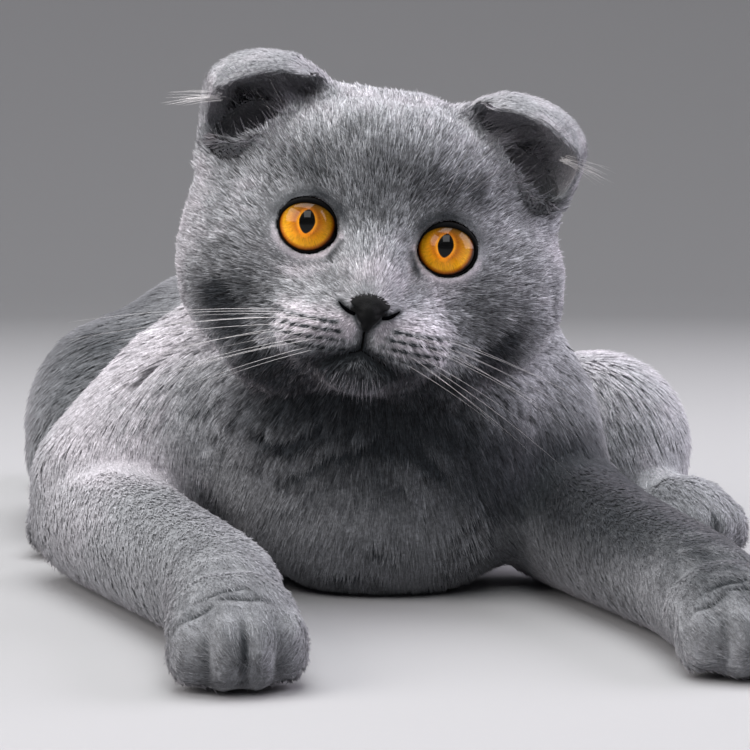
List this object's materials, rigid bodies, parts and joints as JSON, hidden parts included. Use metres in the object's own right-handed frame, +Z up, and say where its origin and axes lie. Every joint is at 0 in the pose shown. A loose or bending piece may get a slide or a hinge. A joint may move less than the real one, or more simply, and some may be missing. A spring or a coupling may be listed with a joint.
{
  "type": "scottish fold cat",
  "caption": "Life-size still model of a fold-eared, short-haired blue-grey cat lying on its belly, forelegs stretched out in front, head up and tail curled along its side.",
  "frame": {"origin": "bottom centre of the whole cat's box, on the floor it lies on", "axes": "+Z up, the cat faces -Y, its own left side is at +X"},
  "size_m": [0.2758, 0.497, 0.1696],
  "materials": {
    "fur": "short dense plush coat, blue-grey with lilac-grey lights",
    "eye": "wet, clear over an amber-orange iris",
    "nose_leather": "near-black, finely pebbled, slightly moist"
  },
  "bodies": {
    "root": {"head": "fur", "neck": "fur", "torso": "fur", "ear_left": "fur", "ear_right": "fur", "foreleg_left": "fur", "foreleg_right": "fur", "forepaw_left": "fur", "forepaw_right": "fur", "hindleg_left": "fur", "hindleg_right": "fur", "hindfoot_left": "fur", "hindfoot_right": "fur", "tail_base": "fur", "tail_middle": "fur", "tail_tip": "fur", "eye_left": "eye", "eye_right": "eye", "nose": "nose_leather"}
  },
  "joints": []
}
